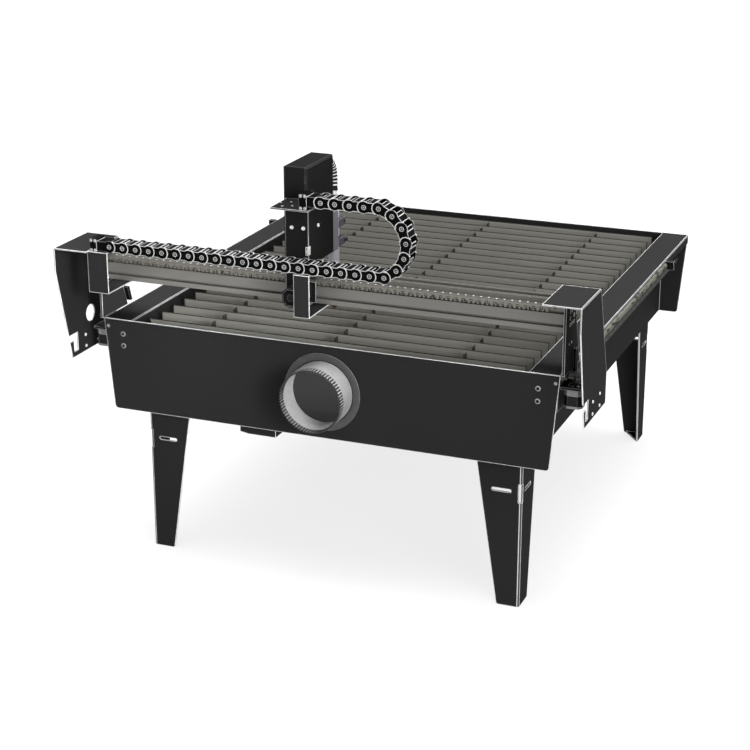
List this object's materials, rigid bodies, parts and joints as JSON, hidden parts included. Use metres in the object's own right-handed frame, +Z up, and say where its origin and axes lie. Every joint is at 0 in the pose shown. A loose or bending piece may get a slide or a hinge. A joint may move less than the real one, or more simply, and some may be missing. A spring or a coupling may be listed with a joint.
{
  "type": "cnc plasma cutting table",
  "caption": "Downdraft plasma cutting table on sheet legs with steel slats, a rack-driven gantry, a beam carriage with cable chain and a screw-lifted torch.",
  "frame": {"origin": "floor under the middle of the overall box", "axes": "+Z up, +Y from the duct collar's panel to the back, +X along the gantry beam to the right"},
  "size_m": [1.71, 1.832, 1.354],
  "materials": {
    "black_powder_coat": "satin powder coat",
    "raw_steel": "mill scale, lightly worn",
    "galvanised_steel": "galvanised sheet",
    "aluminium_profile": "anodised",
    "ground_steel": "ground",
    "motor_black": "satin, bright end bells",
    "black_plastic": "moulded",
    "lead_rubber": "matt"
  },
  "bodies": {
    "table": {"front_panel": "black_powder_coat", "rear_panel": "black_powder_coat", "left_side_wall": "black_powder_coat", "right_side_wall": "black_powder_coat", "floor_pan": "black_powder_coat", "duct_collar": "galvanised_steel", "clean_out_tray": "black_powder_coat", "slats": "raw_steel", "slat_combs": "black_powder_coat", "slat_ledges": "raw_steel", "front_left_leg": "black_powder_coat", "front_right_leg": "black_powder_coat", "rear_left_leg": "black_powder_coat", "rear_right_leg": "black_powder_coat", "left_guide_beam": "aluminium_profile", "right_guide_beam": "aluminium_profile", "left_guide_rail": "ground_steel", "right_guide_rail": "ground_steel", "left_drive_rack": "ground_steel", "right_drive_rack": "ground_steel", "rack_end_stops": "black_plastic"},
    "gantry": {"left_end_frame": "black_powder_coat", "right_end_frame": "black_powder_coat", "left_beam_end_plate": "black_powder_coat", "right_beam_end_plate": "black_powder_coat", "gantry_beam": "aluminium_profile", "left_side_bracket": "black_powder_coat", "right_side_bracket": "black_powder_coat", "left_side_bearing": "ground_steel", "right_side_bearing": "ground_steel", "left_side_motor": "motor_black", "right_side_motor": "motor_black", "home_switch": "black_plastic", "cross_rails": "ground_steel", "cross_rack": "ground_steel", "chain_end_bracket": "black_powder_coat", "chain_middle_bracket": "black_powder_coat", "chain_fixed_end": "black_plastic", "chain_lower_run": "black_plastic"},
    "left_pinion": {"left_side_pinion": "ground_steel"},
    "right_pinion": {"right_side_pinion": "ground_steel"},
    "carriage": {"carriage_base": "black_powder_coat", "cross_bearing_blocks": "ground_steel", "carriage_front_plate": "black_powder_coat", "cross_motor": "motor_black", "tower_cover": "black_powder_coat", "lift_spine": "aluminium_profile", "lift_rail": "ground_steel", "lift_motor": "motor_black", "chain_moving_end": "black_plastic", "chain_upper_run": "black_plastic"},
    "cross_pinion": {"cross_pinion": "ground_steel"},
    "lift_screw": {"lift_screw": "ground_steel"},
    "torch_slide": {"lift_slide": "aluminium_profile", "torch_clamps": "aluminium_profile", "torch": "black_plastic", "torch_lead": "lead_rubber"}
  },
  "joints": [
    {"name": "gantry_travel", "type": "slide", "parent": "table", "child": "gantry", "axis": [0, 1, 0], "range_m": [-0.01, 1.22]},
    {"name": "carriage_travel", "type": "slide", "parent": "gantry", "child": "carriage", "axis": [1, 0, 0], "range_m": [-0.53, 0.69], "deforming": ["chain_lower_run", "chain_upper_run"]},
    {"name": "torch_lift", "type": "slide", "parent": "carriage", "child": "torch_slide", "axis": [0, 0, 1], "range_m": [-0.025, 0.075], "deforming": ["torch_lead"]},
    {"name": "left_pinion_turn", "type": "hinge", "parent": "gantry", "child": "left_pinion", "pos_m": [-0.79, -0.719, 0.781], "axis": [0, 0, 1], "range_deg": [-3885.38, 33.83]},
    {"name": "right_pinion_turn", "type": "hinge", "parent": "gantry", "child": "right_pinion", "pos_m": [0.79, -0.719, 0.781], "axis": [0, 0, 1], "range_deg": [-33.83, 3885.38]},
    {"name": "cross_pinion_turn", "type": "hinge", "parent": "carriage", "child": "cross_pinion", "pos_m": [-0.0575, -0.772, 0.974], "axis": [0, 1, 0], "range_deg": [-2198.34, 1689.04]},
    {"name": "lift_screw_turn", "type": "hinge", "parent": "carriage", "child": "lift_screw", "pos_m": [-0.0815, -0.666, 1.1], "axis": [0, 0, 1], "range_deg": [-2702, 902]}
  ],
  "couplings": [
    {"joint": "left_pinion_turn", "follows": "gantry_travel", "rad_per_m": -55.556},
    {"joint": "right_pinion_turn", "follows": "gantry_travel", "rad_per_m": 55.556},
    {"joint": "cross_pinion_turn", "follows": "carriage_travel", "rad_per_m": -55.556},
    {"joint": "lift_screw_turn", "follows": "torch_lift", "rad_per_m": -628.32}
  ]
}
